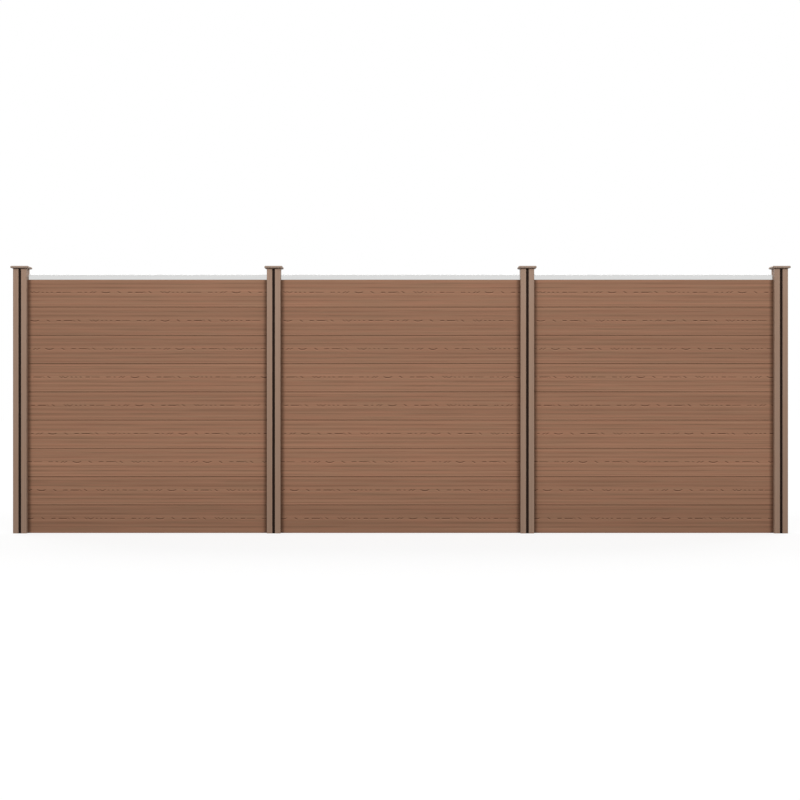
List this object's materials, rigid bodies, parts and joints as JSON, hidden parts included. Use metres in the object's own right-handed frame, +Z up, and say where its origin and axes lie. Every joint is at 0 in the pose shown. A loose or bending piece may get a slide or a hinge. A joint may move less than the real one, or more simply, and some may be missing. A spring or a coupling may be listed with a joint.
{
  "type": "composite fence panel run",
  "caption": "Straight run of composite privacy fencing: hollow tongue-and-groove boards stacked in slotted square posts, with capped tops and bare metal top rails.",
  "frame": {"origin": "on the ground, at the middle of the run's length and depth", "axes": "+X along the run, to the right as seen from the front; -Y is the front; +Z up"},
  "size_m": [5.252, 0.122, 1.802],
  "materials": {
    "board": "brown wood-plastic composite with embossed grain, matt",
    "post": "grey-brown powder coat on extruded aluminium, satin",
    "cap": "grey-brown moulded plastic, fine texture",
    "rail": "bare extruded aluminium, satin",
    "strip": "black extruded plastic, matt"
  },
  "bodies": {
    "root": {"bay_1_board_1": "board", "bay_1_board_2": "board", "bay_1_board_3": "board", "bay_1_board_4": "board", "bay_1_board_5": "board", "bay_1_board_6": "board", "bay_1_board_7": "board", "bay_1_board_8": "board", "bay_1_board_9": "board", "bay_1_top_rail": "rail", "bay_2_board_1": "board", "bay_2_board_2": "board", "bay_2_board_3": "board", "bay_2_board_4": "board", "bay_2_board_5": "board", "bay_2_board_6": "board", "bay_2_board_7": "board", "bay_2_board_8": "board", "bay_2_board_9": "board", "bay_2_top_rail": "rail", "bay_3_board_1": "board", "bay_3_board_2": "board", "bay_3_board_3": "board", "bay_3_board_4": "board", "bay_3_board_5": "board", "bay_3_board_6": "board", "bay_3_board_7": "board", "bay_3_board_8": "board", "bay_3_board_9": "board", "bay_3_top_rail": "rail", "post_1": "post", "post_1_cap": "cap", "post_1_front_strip": "strip", "post_1_back_strip": "strip", "post_1_outer_strip": "strip", "post_2": "post", "post_2_cap": "cap", "post_2_front_strip": "strip", "post_2_back_strip": "strip", "post_3": "post", "post_3_cap": "cap", "post_3_front_strip": "strip", "post_3_back_strip": "strip", "post_4": "post", "post_4_cap": "cap", "post_4_front_strip": "strip", "post_4_back_strip": "strip", "post_4_outer_strip": "strip"}
  },
  "joints": []
}
